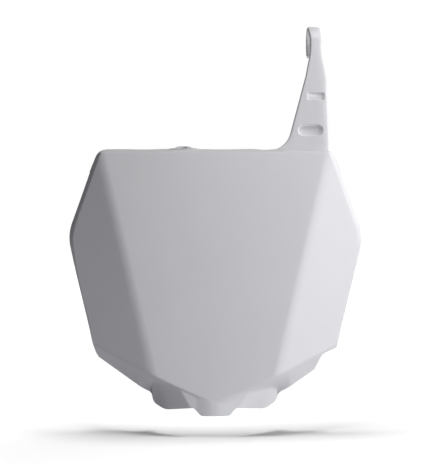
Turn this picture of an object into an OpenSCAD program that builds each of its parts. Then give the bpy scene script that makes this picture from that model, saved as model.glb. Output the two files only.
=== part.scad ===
// Racing number board: one white moulding, a folded shell with a handlebar strap.
// X runs to the viewer's right, Z up, and the front faces -Y.

/* [Board] */
// Width across the shoulders, where the board is widest
board_w = 261; // [247:1:275]
// Height from the foot of the tab to the rear edge of the top flange
board_h = 230.7; // [222:0.1:245]
// Width across the top corners
top_w = 211; // [204:1:217]
// Width across the lower corners, measured where the edges would meet
foot_w = 211; // [204:1:218]
// Height of the shoulders
shoulder_h = 156; // [148:1:164]
// Height of the lower corners
corner_h = 47.8; // [45:0.1:53]
// Thickness of the moulded wall
wall = 2.2; // [1.8:0.1:2.8]
// Radius of the top corners
top_corner_r = 10; // [6:0.5:14]
// Radius of the slight crown across the front
crown_r = 700; // [500:10:1500]

/* [Folds] */
// Width between the wing folds at the top flange
fold_top_w = 195; // [184:1:198]
// Width between the wing folds at the lower corners
fold_low_w = 114; // [106:1:124]
// Angle at which the wings turn back
wing_angle = 27; // [20:1:34]
// Half width of the soft wing fold
fold_soft = 5; // [3:0.5:7]
// Height of the point of the V below the front panel
v_tip_h = 10.5; // [8:0.5:14]
// Rise of the V for each millimetre from the middle
v_rise = 0.45; // [0.43:0.005:0.47]
// Angle at which the chin turns back below the V
chin_angle = 50; // [40:1:55]

/* [Rim and top flange] */
// Width of the rim beside the upper wings, seen from the front
rim_w = 5; // [3.5:0.5:7]
// Width of the lip beside the lower wings, seen from the front
lip_w = 1.8; // [1:0.2:3]
// Slope of the rim, as depth for each millimetre of width
rim_slope = 2.1; // [1.5:0.1:2.6]
// Depth of the top flange from front to rear
flange_depth = 12; // [9:0.5:15]
// Angle at which the top flange rises to the rear
flange_angle = 17; // [13:1:21]

/* [Screw ear] */
// Distance of the screw hole from the middle, to the viewer's left
ear_x = 27.4; // [15:1:45]
// Distance of the hole behind the front edge, along the ear
ear_hole_back = 14; // [13:0.5:17]
// Diameter of the screw hole
ear_hole_d = 7; // [5:0.1:8]
// Radius of the ear round its hole
ear_r = 7.5; // [6.5:0.5:9]
// Thickness of the ear
ear_t = 2.9; // [2.6:0.1:4]

/* [Lobes and tab] */
// Distance from the middle to the outer wall of each lobe
lobe_out = 54.2; // [51:0.2:57]
// Depth of the rounding of each lobe
lobe_depth = 20; // [15:1:25]
// Height of the lower edge of the lobes
lobe_h = 4.6; // [3.6:0.2:7]
// Width of the tab at its foot
tab_w = 25; // [18:1:30]

/* [Handlebar strap] */
// Rise of the strap loop above the top flange
strap_rise = 107.5; // [95:0.5:125]
// Distance from the middle to the centre of the loop
loop_x = 86.2; // [80:0.1:88]
// Width of the loop, along the handlebar
loop_w = 11.9; // [10:0.1:15]
// Diameter of the bar that the loop holds
bar_d = 22.2; // [19:0.1:25.4]
// Thickness of the strap
strap_t = 2.6; // [2:0.1:3.2]
// Distance of the front of the strap behind the front panel
strap_back = 11; // [10:0.2:12]
// Angle of the loop, from the front of the bar over its top
loop_angle = 250; // [215:5:290]
// Width of the upper slot
slot_w = 15.4; // [10:0.2:16]
// Height of the upper slot
slot_h = 6.4; // [5:0.2:8]
// Depth of the upper slot at its deeper end, on the viewer's right
slot_depth = 1.8; // [1:0.1:1.9]
// Width of the lower oval recess
oval_w = 21.8; // [15:0.2:22]
// Height of the lower oval recess
oval_h = 9.8; // [7:0.2:11]
// Depth of the lower oval recess, whose floor stands behind the strap
oval_depth = 2.8; // [1.8:0.1:3.4]

/* [Hidden] */
$fn = 64;

// Softness of the folds, as the difference in depth over which two faces blend
wing_soft = fold_soft * tan(wing_angle);
chin_soft = 2.4;
edge_soft = 2.6;
rim_soft = 1;
turn_span = 10;
shoulder_soft = 7;

// The two straight sides and the corner where they would meet
peak_half = board_w / 2 + shoulder_soft / 4;
flange_rise = flange_depth * tan(flange_angle);
fold_h = board_h - flange_rise;
top_slope = 1 / tan(flange_angle);
upper_lean = atan((peak_half - top_w / 2) / (board_h - top_corner_r - shoulder_h));
arc_mid_s = top_w / 2 - top_corner_r * cos(upper_lean);
arc_mid_z = board_h - top_corner_r;
side_top_z = arc_mid_z + top_corner_r * sin(upper_lean);
upper_slope = (peak_half - top_w / 2) / (side_top_z - shoulder_h);
lower_slope = (peak_half - foot_w / 2) / (shoulder_h - corner_h);

// Shallow dips in the rear edge of the top flange: place, depth and half width of each
top_dips = [[-61, 0.6, 13], [4, 0.8, 22], [43, 1.1, 7]];

// The rim narrows to a lip below the shoulders, and the lip ends at the lower corners
rim_fade = 38;
rim_full = 6;
lip_start = 8;
lip_grow = 20;

// The V meets the side at this height
v_side_z = (v_tip_h + v_rise * (foot_w / 2 - lower_slope * corner_h)) / (1 - v_rise * lower_slope);
chin_min = 2;
low_side_z = v_side_z - chin_min;
corner_soft = 5;

// The lower outline: the diagonal, the step to the lobe and the flank of the tab
diagonal_rise = 0.667;
step_rise = 2.2;
step_s = lobe_out - 2;
tab_flank = 1.15;
outline_soft = 2;

// The notch in the lower corner on the viewer's right
notch_s = 88.4;
notch_rise = 2.3;
notch_end = 94.6;
notch_lean = 0.42;

// The lower skin: its front below the V, the nose and the crease beside each lobe
skin_back = 2.4;
skin_lean = 0.15;
skin_fall = 6;
nose_back = 0.6;
nose_r = 55;
crease_s = 22.5;
crease_lean = 0.58;
crease_slope = 0.19;
lobe_soft = 1.2;
lobe_end = lobe_out + 1;

function softmax(a, b, k) = max(a, b) + pow(max(k - abs(a - b), 0), 2) / (4 * k);
function softmin(a, b, k) = -softmax(-a, -b, k);
function mix(a, b, t) = a + (b - a) * t;
function ease(t) = let (c = min(max(t, 0), 1)) c * c * (3 - 2 * c);

// Half width of the board at height z
function side(z) = softmin(
    top_w / 2 + upper_slope * (side_top_z - z),
    foot_w / 2 + lower_slope * (z - corner_h),
    shoulder_soft
);

// Width of the rim at height z: wide above the shoulders, a narrow lip below them
function rim(z) = mix(lip_w, rim_w, ease((z - shoulder_h + rim_fade) / (rim_fade + rim_full)))
    * ease((z - corner_h - lip_start) / lip_grow);

// Distance from the middle to the wing fold at height z
fold_lean = (fold_top_w - fold_low_w) / 2 / (fold_h - corner_h);
function fold_s(z) = fold_low_w / 2 + fold_lean * (z - corner_h);

function v_z(s) = v_tip_h + v_rise * s;

// Top outline with its rounded corners and the shallow dips in the flange's rear edge
function dips(x) = [for (d = top_dips) d[1] * exp(-pow((x - d[0]) / d[2], 2))];
function top_z(x) = let (s = abs(x))
    s < arc_mid_s ? board_h - dips(x) * [for (d = top_dips) 1]
    : arc_mid_z + sqrt(max(pow(top_corner_r, 2) - pow(s - arc_mid_s, 2), 0));

// Lower outline: chin, lobe and tab, and the notch on the right
function diagonal_z(s) = corner_h - diagonal_rise * (foot_w / 2 - s);
function step_z(s) = lobe_h + step_rise * (s - step_s);
function lobe_z(s) = softmax(softmin(diagonal_z(s), step_z(s), outline_soft), lobe_h, outline_soft);
function tab_z(s) = softmax(tab_flank * (s - tab_w / 2), 0, outline_soft);
function notch_z(x) = min(
    diagonal_z(notch_s) + notch_rise * (x - notch_s),
    diagonal_z(notch_s) + notch_rise * (notch_end - notch_s) + notch_lean * (x - notch_end)
);
function low_z(x) = let (
        s = abs(x),
        corner = low_side_z + (s - side(low_side_z)) / lower_slope,
        plain = softmax(softmin(lobe_z(s), tab_z(s), outline_soft), corner, corner_soft)
    )
    min(x > 0 ? max(plain, notch_z(x)) : plain, v_z(s) - chin_min);

// Depth of the lower skin behind the front plane: nose in the middle, a lobe at each side
function nose_y(s) = nose_back + s * s / (2 * nose_r);
function lobe_y(s, z) = let (
        from = crease_s + crease_lean * (z - lobe_h),
        q = min(max((s - from) / (lobe_end - from), 0), 1)
    )
    skin_back + crease_slope * max(s - from, 0)
    + lobe_depth * (1 - sqrt(1 - q * q)) + skin_fall * max(s - lobe_end, 0);
function skin_y(s, z) = softmin(nose_y(s), lobe_y(s, z), lobe_soft)
    + skin_lean * max(v_z(s) - z, 0) + skin_fall * max(z - v_z(s), 0);

// Depth of the crown, which runs straight on beyond the folds
function crown_y(s, z) = let (f = fold_s(z), c = min(s, f)) c * c / (2 * crown_r) + (s - c) * f / crown_r;

// Depth of the front surface at x and z
function front_y(x, z) = let (
        s = abs(x),
        crown = crown_y(s, z),
        wing = softmax(tan(wing_angle) * cos(atan(fold_lean)) * (s - fold_s(z)), 0, wing_soft),
        chin = softmax(tan(chin_angle) * cos(atan(v_rise)) * (v_z(s) - z), 0, chin_soft),
        at_rim = rim_slope * (s - side(z) + rim(z)),
        at_top = top_slope * (z - fold_h),
        blend = mix(rim_soft, edge_soft, ease((at_top - at_rim) / turn_span + 0.5)),
        base = crown + wing + chin + softmax(softmax(at_rim, at_top, edge_soft), 0, blend)
    )
    softmin(base, crown + skin_y(s, z), lobe_soft);

// The wall stands square to the surface: the inner point lies one wall along the normal, and the
// normal is read over a short span so that the inner face stays smooth at the folds
normal_span = 2.5;
function normal(x, z) = let (
        h = normal_span,
        gx = (front_y(x + h, z) - front_y(x - h, z)) / (2 * h),
        gz = (front_y(x, z + h) - front_y(x, z - h)) / (2 * h),
        n = [-gx, 1, -gz]
    )
    n / norm(n);

// Rows run from the top edge to the lower outline, closer together at the folds
flange_rows = [0, 0.35, 0.6, 0.8, 1];
panel_rows = [0.012, 0.03, 0.15, 0.3, 0.37, 0.41, 0.45, 0.5, 0.56, 0.68, 0.8, 0.9, 0.97, 0.987, 0.994, 1];
chin_rows = [0.08, 0.17, 0.28, 0.4, 0.55, 0.7, 0.85, 1];
rows = concat(
    [for (t = flange_rows) [0, t]],
    [for (t = panel_rows) [1, t]],
    [for (t = chin_rows) [2, t]]
);

// Columns run from the middle to the side: panel, soft fold, wing and rim
panel_cols = [0, 0.1, 0.19, 0.25, 0.29, 0.33, 0.38, 0.43, 0.48, 0.54, 0.6, 0.68, 0.76, 0.84, 0.9, 0.95, 1];
fold_cols = [0.17, 0.34, 0.5, 0.66, 0.83, 1];
wing_cols = [0.25, 0.45, 0.6, 0.7, 0.8, 0.9, 1];
rim_cols = [0.15, 0.3, 0.5, 0.75, 1];
half_cols = concat(
    [for (t = panel_cols) [0, t]],
    [for (t = fold_cols) [1, t]],
    [for (t = wing_cols) [2, t]],
    [for (t = rim_cols) [3, t]]
);
half_n = len(half_cols);
cols = concat(
    [for (i = [half_n - 1:-1:1]) [-1, half_cols[i]]],
    [for (c = half_cols) [1, c]]
);

// Side height of each row, and the row's height at a share c of its width; the row below the flange
// stays level almost to the side and then turns down
turn_power = 24;
rim_margin = 1.5;
wing_min = 1;
side_z = [side_top_z, fold_h - top_corner_r, v_side_z, low_side_z];
function row_side(r) = mix(side_z[r[0]], side_z[r[0] + 1], r[1]);
function curve_z(i, c) = i == 0 ? top_z(c * side(side_z[0]))
    : i == 1 ? mix(fold_h, side_z[1], pow(abs(c), turn_power))
    : i == 2 ? v_z(abs(c) * side(side_z[2]))
    : low_z(c * side(side_z[3]));
function row_z(r, c) = mix(curve_z(r[0], c), curve_z(r[0] + 1, c), r[1]);
function place_s(r, c) = let (
        half = side(row_side(r)),
        rim_s = half - rim(row_side(r)) - rim_margin,
        bend = fold_s(row_z(r, fold_s(row_side(r)) / half)),
        low = min(bend - fold_soft, rim_s - 2 * fold_soft - wing_min),
        high = low + 2 * fold_soft
    )
    c[0] == 0 ? low * c[1]
    : c[0] == 1 ? mix(low, high, c[1])
    : c[0] == 2 ? mix(high, rim_s, c[1])
    : mix(rim_s, half, c[1]);
function surface_point(r, c) = let (
        x = c[0] * place_s(r, c[1]),
        z = row_z(r, x / side(row_side(r)))
    )
    [x, front_y(x, z), z];

front_points = [for (r = rows, c = cols) surface_point(r, c)];
back_points = [for (p = front_points) p + wall * normal(p[0], p[2])];
n_rows = len(rows);
n_cols = len(cols);
n_face = n_rows * n_cols;

// Where the shell ends in depth, so that the origin can stand under its middle
loop_r = bar_d / 2 + strap_t;
depth = max(max([for (p = back_points) p[1]]), strap_back + 2 * loop_r);

function cell(i, j) = i * n_cols + j;
skin_faces = [
    for (i = [0:n_rows - 2], j = [0:n_cols - 2])
    let (a = cell(i, j), b = cell(i, j + 1), c = cell(i + 1, j + 1), d = cell(i + 1, j))
    each j < n_cols / 2 - 1 ? [[a, b, c], [a, c, d]] : [[a, b, d], [b, c, d]]
];
edge_ring = concat(
    [for (j = [0:n_cols - 1]) cell(0, j)],
    [for (i = [1:n_rows - 1]) cell(i, n_cols - 1)],
    [for (j = [n_cols - 2:-1:0]) cell(n_rows - 1, j)],
    [for (i = [n_rows - 2:-1:1]) cell(i, 0)]
);
ring_n = len(edge_ring);
edge_faces = [
    for (k = [0:ring_n - 1])
    let (a = edge_ring[k], b = edge_ring[(k + 1) % ring_n])
    each [[a, a + n_face, b + n_face], [a, b + n_face, b]]
];
shell_faces = concat(
    skin_faces,
    [for (f = skin_faces) [f[2] + n_face, f[1] + n_face, f[0] + n_face]],
    edge_faces
);

module shell() {
    polyhedron(concat(front_points, back_points), shell_faces, convexity = 8);
}

// The ear lies in the plane of the top flange, a little proud of it on both sides
ear_proud = (ear_t - wall) / 2;
ear_start = 3;
ear_flare_r = 5;
ear_flare_w = 2 * (ear_r + ear_flare_r);
ear_flare_end = flange_depth + ear_flare_r;
past = 4;
module on_ear() {
    translate([-ear_x, ear_x * ear_x / (2 * crown_r), fold_h])
    rotate([flange_angle, 0, 0])
    translate([0, 0, ear_proud])
    children();
}
module ear_outline() {
    translate([0, ear_hole_back]) circle(ear_r);
    translate([-ear_r, ear_start]) square([ear_r * 2, ear_hole_back - ear_start]);
    difference() {
        translate([-ear_flare_w / 2, ear_start]) square([ear_flare_w, ear_flare_end - ear_start]);
        for (k = [-1, 1])
            translate([k * ear_flare_w / 2, ear_flare_end]) circle(ear_flare_r);
    }
}
module ear() {
    on_ear() translate([0, 0, -ear_t]) linear_extrude(ear_t) ear_outline();
}
module ear_hole() {
    on_ear() translate([0, ear_hole_back, -ear_t - past]) cylinder(d = ear_hole_d, h = ear_t + 2 * past);
}

// The strap's outline in the front view: the neck below the loop, the waist and the root, which has
// a fillet on its left and sinks into the flange
loop_z = board_h + strap_rise - loop_r;
strap_left = loop_x - loop_w / 2;
strap_right = loop_x + loop_w / 2;
neck_drop = 13;
neck_grow = 0.6;
neck_blend = [6.4, -2.3, 7];
neck_pinch = 1.8;
neck_ease = [-3, -5.5];
pinch_foot = 1.05;
neck_z = loop_z - neck_drop;
root_sink = 1.2;
root_z = board_h - root_sink;
root_fillet = 19;
root_lean = 12;
root_reach = 20.7;
root_left = loop_x - root_reach - root_fillet;
root_tail = 2;
root_inset = 6.6;
root_right = top_w / 2 - root_inset;
waist_share = 0.76;
waist_out = 0.33;
waist_z = mix(root_z, neck_z, waist_share);
waist_right = mix(root_right, strap_right, waist_out);
hip_drop = 25;
left_z = root_z + root_fillet * (1 - sin(root_lean));
left_s = root_left + root_fillet * cos(root_lean);
neck_left = strap_left - neck_grow;
neck_right = strap_right + neck_grow;
arc_steps = 9;
strap_outline = concat(
    [[strap_left, loop_z], [strap_left + neck_pinch, loop_z + neck_ease[0]]],
    [[strap_left + neck_pinch, neck_z + neck_blend[0]], [strap_left + pinch_foot, neck_z + neck_blend[1]]],
    [[strap_left, neck_z + neck_ease[1] - neck_ease[0] + neck_blend[1]]],
    [
        for (k = [0:arc_steps])
        let (a = mix(-root_lean, -90, k / arc_steps))
        [root_left + root_fillet * cos(a), root_z + root_fillet * (1 + sin(a))]
    ],
    [[root_left - root_tail, root_z - root_sink], [root_right, fold_h - neck_grow]],
    [[waist_right + neck_grow, waist_z - hip_drop], [waist_right, waist_z], [neck_right, neck_z]],
    [[strap_right, neck_z + neck_blend[2]], [strap_right, loop_z]]
);

// The slot and the recess lie just right of the strap's middle; the slot is a pocket whose floor falls
// towards the right
function strap_mid(z) = (mix(left_s, neck_left, (z - left_z) / (neck_z + neck_blend[1] - left_z))
    + mix(root_right, waist_right, (z - root_z) / (waist_z - root_z))) / 2;
slot_rise = 46.5;
slot_shift = 3;
slot_shallow = 0.5;
slot_z = root_z + slot_rise;
slot_x = strap_mid(slot_z) + slot_shift;
oval_rise = 17;
oval_shift = 0.9;
oval_wall = 1.4;
oval_z = root_z + oval_rise;
oval_x = strap_mid(oval_z) + oval_shift;

module upright(depth_from, depth_to) {
    translate([0, depth_to, 0])
    rotate([90, 0, 0])
    linear_extrude(depth_to - depth_from)
    children();
}
module oval(grow) {
    for (k = [-1, 1])
        translate([oval_x + k * (oval_w - oval_h) / 2, oval_z]) circle(d = oval_h + 2 * grow);
    translate([oval_x, oval_z]) square([oval_w - oval_h, oval_h + 2 * grow], center = true);
}
module slot() {
    translate([slot_x, strap_back, slot_z - slot_h / 2])
    linear_extrude(slot_h)
    polygon([[-slot_w / 2, -past], [slot_w / 2, -past], [slot_w / 2, slot_depth], [-slot_w / 2, slot_shallow]]);
}
module strap() {
    difference() {
        union() {
            upright(strap_back, strap_back + strap_t) polygon(strap_outline);
            upright(strap_back + strap_t / 2, strap_back + oval_depth + oval_wall) oval(oval_wall);
        }
        slot();
        upright(strap_back - past, strap_back + oval_depth) oval(0);
    }
    // The loop runs from the front of the bar over its top and down behind it
    translate([strap_right, strap_back + loop_r, loop_z])
    rotate([90, 0, -90])
    rotate_extrude(angle = loop_angle)
    translate([bar_d / 2, 0]) square([strap_t, loop_w]);
}

module number_board() {
    color("white")
    translate([0, -depth / 2, 0])
    difference() {
        union() {
            shell();
            ear();
            strap();
        }
        ear_hole();
    }
}

number_board();
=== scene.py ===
"""Racing number board: one white moulding as a fine mesh, its plastic and a studio stage."""

import math

import bmesh
import bpy
import numpy as np
from bpy.props import FloatProperty, FloatVectorProperty, PointerProperty
from mathutils import Matrix, Vector


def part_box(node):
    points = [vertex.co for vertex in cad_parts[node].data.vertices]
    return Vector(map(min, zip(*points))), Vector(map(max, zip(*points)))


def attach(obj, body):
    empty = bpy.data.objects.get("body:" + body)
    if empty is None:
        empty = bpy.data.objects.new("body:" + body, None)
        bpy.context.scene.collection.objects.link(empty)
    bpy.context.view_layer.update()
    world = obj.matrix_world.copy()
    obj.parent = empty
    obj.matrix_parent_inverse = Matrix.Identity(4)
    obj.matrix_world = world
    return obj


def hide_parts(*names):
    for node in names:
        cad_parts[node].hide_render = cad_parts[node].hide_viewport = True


bl_info = {
    "name": "Racing number board",
    "version": (1, 0, 0),
    "blender": (4, 5, 0),
    "location": "View3D > Sidebar > Number board",
    "description": "Builds the board's moulding in fine mesh, its plastic and a studio stage",
    "category": "Add Mesh",
}

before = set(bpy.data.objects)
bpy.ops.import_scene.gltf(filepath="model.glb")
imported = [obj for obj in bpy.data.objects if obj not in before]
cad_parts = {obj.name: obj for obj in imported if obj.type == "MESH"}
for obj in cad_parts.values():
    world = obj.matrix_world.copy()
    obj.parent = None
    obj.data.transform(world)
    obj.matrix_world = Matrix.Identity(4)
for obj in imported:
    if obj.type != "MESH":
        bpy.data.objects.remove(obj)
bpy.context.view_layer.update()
NODE = "number_board"
BODY = "root"
PIECE = "number_board_moulding"
MILLI = 0.001
FRONT_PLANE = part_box(NODE)[0][1] / MILLI
CAMERA_NAME = "studio_camera"


# Sizes and colours that a user may change


def length(name, description, default):
    """A length in metres, shown in the scene's own units."""
    return FloatProperty(name=name, description=description, default=default, unit="LENGTH", precision=5)


def slant(name, description, degrees):
    """An angle, given here in degrees."""
    return FloatProperty(name=name, description=description, default=math.radians(degrees), subtype="ANGLE")


def power(name, description, default):
    """The power of a lamp in watts."""
    return FloatProperty(name=name, description=description, default=default, unit="POWER")


def ratio(name, description, default):
    """A plain number without a unit."""
    return FloatProperty(name=name, description=description, default=default, precision=3)


class BoardSizes(bpy.types.PropertyGroup):
    """Outline, wall and folds of the board."""

    width: length("Width", "Width across the shoulders", 0.261)
    height: length("Height", "Height from the foot of the tab to the rear edge of the top flange", 0.2307)
    top_width: length("Top width", "Width across the top corners", 0.211)
    foot_width: length("Foot width", "Width across the lower corners", 0.211)
    shoulder_height: length("Shoulder height", "Height of the shoulders", 0.156)
    corner_height: length("Corner height", "Height of the lower corners", 0.0478)
    wall: length("Wall", "Thickness of the moulded wall", 0.0022)
    top_corner_radius: length("Corner radius", "Radius of the top corners", 0.013)
    crown_radius: length("Crown radius", "Radius of the slight crown across the front", 0.7)
    fold_top_width: length("Fold width, top", "Width between the wing folds at the top flange", 0.199)
    fold_low_width: length("Fold width, low", "Width between the wing folds at the lower corners", 0.114)
    wing_angle: slant("Wing angle", "Angle at which the wings turn back", 27)
    fold_softness: length("Fold softness", "Half width of the soft wing fold", 0.005)
    v_tip_height: length("V height", "Height of the point of the V below the front panel", 0.0105)
    v_rise: ratio("V rise", "Rise of the V for each unit of width from the middle", 0.45)
    chin_angle: slant("Chin angle", "Angle at which the chin turns back below the V", 50)


class RimSizes(bpy.types.PropertyGroup):
    """Rim, top flange and rounded edges of the board."""

    rim_width: length("Rim width", "Width of the rim beside the upper wings", 0.005)
    lip_width: length("Lip width", "Width of the lip beside the lower wings", 0.0018)
    rim_slope: ratio("Rim slope", "Slope of the rim, as depth for each unit of width", 2.1)
    flange_depth: length("Flange depth", "Depth of the top flange from front to rear", 0.012)
    flange_angle: slant("Flange angle", "Angle at which the top flange rises to the rear", 17)
    edge_radius: length("Edge radius", "Radius of the rounded outer edges", 0.0008)


class LobeSizes(bpy.types.PropertyGroup):
    """Lobes and tab below the chin."""

    lobe_reach: length("Lobe reach", "Distance from the middle to the outer wall of each lobe", 0.0542)
    lobe_height: length("Lobe height", "Height of the lower edge of the lobes", 0.0046)
    tab_width: length("Tab width", "Width of the tab at its foot", 0.025)


class EarSizes(bpy.types.PropertyGroup):
    """Screw ear behind the top flange."""

    place: length("Place", "Distance of the screw hole from the middle, to the viewer's left", 0.0274)
    hole_back: length("Hole distance", "Distance of the hole behind the front edge", 0.014)
    hole_diameter: length("Hole diameter", "Diameter of the screw hole", 0.007)
    radius: length("Ear radius", "Radius of the ear round its hole", 0.0075)
    thickness: length("Ear thickness", "Thickness of the ear", 0.0029)


class StrapSizes(bpy.types.PropertyGroup):
    """Handlebar strap with its loop, slot and recess."""

    rise: length("Rise", "Rise of the loop above the top flange", 0.1075)
    place: length("Place", "Distance from the middle to the centre of the loop", 0.0862)
    loop_width: length("Loop width", "Width of the loop, along the handlebar", 0.0119)
    bar_diameter: length("Bar diameter", "Diameter of the bar that the loop holds", 0.0222)
    thickness: length("Thickness", "Thickness of the strap", 0.0026)
    set_back: length("Set-back", "Distance of the strap's front behind the front panel", 0.011)
    loop_angle: slant("Loop angle", "Angle of the loop, from the front of the bar over its top", 250)
    slot_width: length("Slot width", "Width of the upper slot", 0.0154)
    slot_height: length("Slot height", "Height of the upper slot", 0.0064)
    slot_depth: length("Slot depth", "Depth of the upper slot at its middle", 0.0014)
    oval_width: length("Recess width", "Width of the lower oval recess", 0.0218)
    oval_height: length("Recess height", "Height of the lower oval recess", 0.0098)
    oval_depth: length("Recess depth", "Depth of the lower oval recess", 0.0028)


class PlasticLook(bpy.types.PropertyGroup):
    """Finish of the white moulded plastic."""

    colour: FloatVectorProperty(
        name="Colour", description="Colour of the plastic", default=(0.80, 0.80, 0.825), subtype="COLOR"
    )
    roughness: ratio("Roughness", "Roughness of the sheen", 0.42)
    grain: length("Grain depth", "Depth of the fine moulded grain", 0.00002)


class StageLook(bpy.types.PropertyGroup):
    """Camera, lamps and floor."""

    camera_distance: length("Camera distance", "Distance of the camera before the front panel", 1.0)
    view_height: length("View height", "Height of the picture at the front panel", 0.4054)
    floor_drop: length("Floor drop", "Distance of the floor below the foot of the tab", 0.018)
    key_power: power("Key power", "Power of the key lamp, far to the right", 8.4)
    front_power: power("Front power", "Power of the lamp at the right of the camera", 8.0)
    top_power: power("Top power", "Power of the overhead lamp", 3.9)
    floor_power: power("Floor power", "Power of the lamp that lights the floor alone", 18.8)
    room_light: ratio("Room light", "Brightness of the room around the board", 0.03)


# The board's surface, in millimetres: x to the viewer's right, z up, y as depth behind the front plane


def soft_max(a, b, k):
    """The larger of a and b, blended where they differ by less than k."""
    return np.maximum(a, b) + np.maximum(k - np.abs(a - b), 0) ** 2 / (4 * k)


def soft_min(a, b, k):
    """The smaller of a and b, blended where they differ by less than k."""
    return -soft_max(-a, -b, k)


def mix(a, b, share):
    """The value at a share of the way from a to b."""
    return a + (b - a) * share


def ease(share):
    """A smooth step from 0 to 1."""
    c = np.clip(share, 0, 1)
    return c * c * (3 - 2 * c)


def unit(v):
    """Vectors along the last axis at length 1."""
    return v / np.maximum(np.linalg.norm(v, axis=-1, keepdims=True), 1e-12)


class BoardForm:
    """The folded front surface, its outline and the inner surface one wall behind it."""

    # Top outline: place, depth and half width of each shallow dip
    TOP_DIPS = ((-61, 0.6, 13), (4, 0.8, 22), (43, 1.1, 7))
    # Softness of the shoulders and of the lower corners
    SHOULDER_SOFT = 7
    CORNER_SOFT = 5
    # Rim: its fade below the shoulders, the start of its lip, and the soft turns into rim and flange
    RIM_FADE = 38
    RIM_FULL = 6
    LIP_START = 8
    LIP_GROW = 20
    RIM_SOFT = 1
    EDGE_SOFT = 2.6
    TURN_SPAN = 10
    CORNER_BLEND = 6
    # Chin: its soft folds, and a steeper ledge between two distances from the middle
    CHIN_SOFT = 2.4
    CHIN_MIN = 2
    V_SOFT = 12
    LEDGE = 0.9
    LEDGE_START = 8
    LEDGE_END = 68
    LEDGE_EASE = 20
    # Lower outline: the diagonal, the lobe's outer wall, the tab, and a tilted sill that ends in a nib
    OUTLINE_SOFT = 2
    DIAGONAL_RISE = 0.667
    STEP_RISE = 2.2
    STEP_INSET = 2
    TAB_FLANK = 1.15
    SILL_TILT = 0.14
    SILL_MIDDLE = 34
    NIB_PLACE = 43.5
    NIB_HEIGHT = 3.2
    NIB_RISE = 0.45
    # Notch on the viewer's right
    NOTCH_START = 88.4
    NOTCH_RISE = 2.3
    NOTCH_END = 94.6
    NOTCH_LEAN = 0.42
    # Lower skin: the nose and its flanks, the crease at each side of it, and the lobes
    NOSE_SOFT = 8
    NOSE_SHIFT = 4
    FLANK_SLOPE = 0.22
    FLANK_END = 16
    CREASE_PLACE = 23.4
    CREASE_HEIGHT = 11
    CREASE_LEAN = 0.55
    CREASE_SLOPE = 0.46
    CREASE_SOFT = 1
    LOBE_PAST = 1
    LOBE_SOFT = 3
    LOBE_TURN = 40
    TURN_DEPTH = 5
    SKIN_LEAN = 0.12
    SKIN_FALL = 6
    # Least softness, and the reach over which the surface's direction is taken
    FINE = 0.001
    NORMAL_SPAN = 2.5

    def __init__(self, sizes):
        board, rim, lobes = sizes.board, sizes.rim, sizes.lobes
        self.board_h = board.height / MILLI
        self.top_half = board.top_width / 2 / MILLI
        self.foot_half = board.foot_width / 2 / MILLI
        self.shoulder_h = board.shoulder_height / MILLI
        self.corner_h = board.corner_height / MILLI
        self.wall = board.wall / MILLI
        self.corner_r = board.top_corner_radius / MILLI
        self.crown_r = board.crown_radius / MILLI
        self.fold_soft = board.fold_softness / MILLI
        self.wing_slope = math.tan(board.wing_angle)
        self.v_tip = board.v_tip_height / MILLI
        self.v_rise = board.v_rise
        self.chin_slope = math.tan(board.chin_angle) * math.cos(math.atan(board.v_rise))
        self.rim_w = rim.rim_width / MILLI
        self.lip_w = rim.lip_width / MILLI
        self.rim_slope = rim.rim_slope
        self.flange_depth = rim.flange_depth / MILLI
        self.flange_angle = rim.flange_angle
        self.edge_r = rim.edge_radius / MILLI
        self.lobe_out = lobes.lobe_reach / MILLI
        self.lobe_h = lobes.lobe_height / MILLI
        self.tab_half = lobes.tab_width / 2 / MILLI

        self.lobe_end = self.lobe_out + self.LOBE_PAST
        self.top_slope = 1 / math.tan(self.flange_angle)
        self.fold_h = self.board_h - self.flange_depth * math.tan(self.flange_angle)
        self.fold_low = board.fold_low_width / 2 / MILLI
        self.fold_lean = (board.fold_top_width / 2 / MILLI - self.fold_low) / (self.fold_h - self.corner_h)

        peak = board.width / 2 / MILLI + self.SHOULDER_SOFT / 4
        lean = math.atan((peak - self.top_half) / (self.board_h - self.corner_r - self.shoulder_h))
        self.arc_s = self.top_half - self.corner_r * math.cos(lean)
        self.arc_z = self.board_h - self.corner_r
        self.side_top = self.arc_z + self.corner_r * math.sin(lean)
        self.upper_slope = (peak - self.top_half) / (self.side_top - self.shoulder_h)
        self.lower_slope = (peak - self.foot_half) / (self.shoulder_h - self.corner_h)
        v_side = (self.v_tip + self.v_rise * (self.foot_half - self.lower_slope * self.corner_h)) / (
            1 - self.v_rise * self.lower_slope
        )
        self.side_z = (self.side_top, self.fold_h - self.corner_r, v_side, v_side - self.CHIN_MIN)

    def side(self, z):
        """Half width of the board at height z."""
        return soft_min(
            self.top_half + self.upper_slope * (self.side_top - z),
            self.foot_half + self.lower_slope * (z - self.corner_h),
            self.SHOULDER_SOFT,
        )

    def rim(self, z):
        """Width of the rim at height z: wide above the shoulders, a narrow lip below them."""
        wide = ease((z - self.shoulder_h + self.RIM_FADE) / (self.RIM_FADE + self.RIM_FULL))
        return mix(self.lip_w, self.rim_w, wide) * ease((z - self.corner_h - self.LIP_START) / self.LIP_GROW)

    def fold(self, z):
        """Distance from the middle to the wing fold at height z."""
        return self.fold_low + self.fold_lean * (z - self.corner_h)

    def v_line(self, s):
        """Height of the V below the front panel."""
        return self.v_tip + self.v_rise * s

    def v_fold(self, x):
        """Height of the fold along the V, rounded at its point."""
        return self.v_line(soft_max(x, -x, self.V_SOFT))

    def top(self, x):
        """Height of the top outline, with rounded corners and shallow dips."""
        s = np.abs(x)
        dips = sum(depth * np.exp(-(((x - at) / half) ** 2)) for at, depth, half in self.TOP_DIPS)
        arc = self.arc_z + np.sqrt(np.maximum(self.corner_r**2 - (s - self.arc_s) ** 2, 0))
        return np.where(s < self.arc_s, self.board_h - dips, arc)

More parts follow.
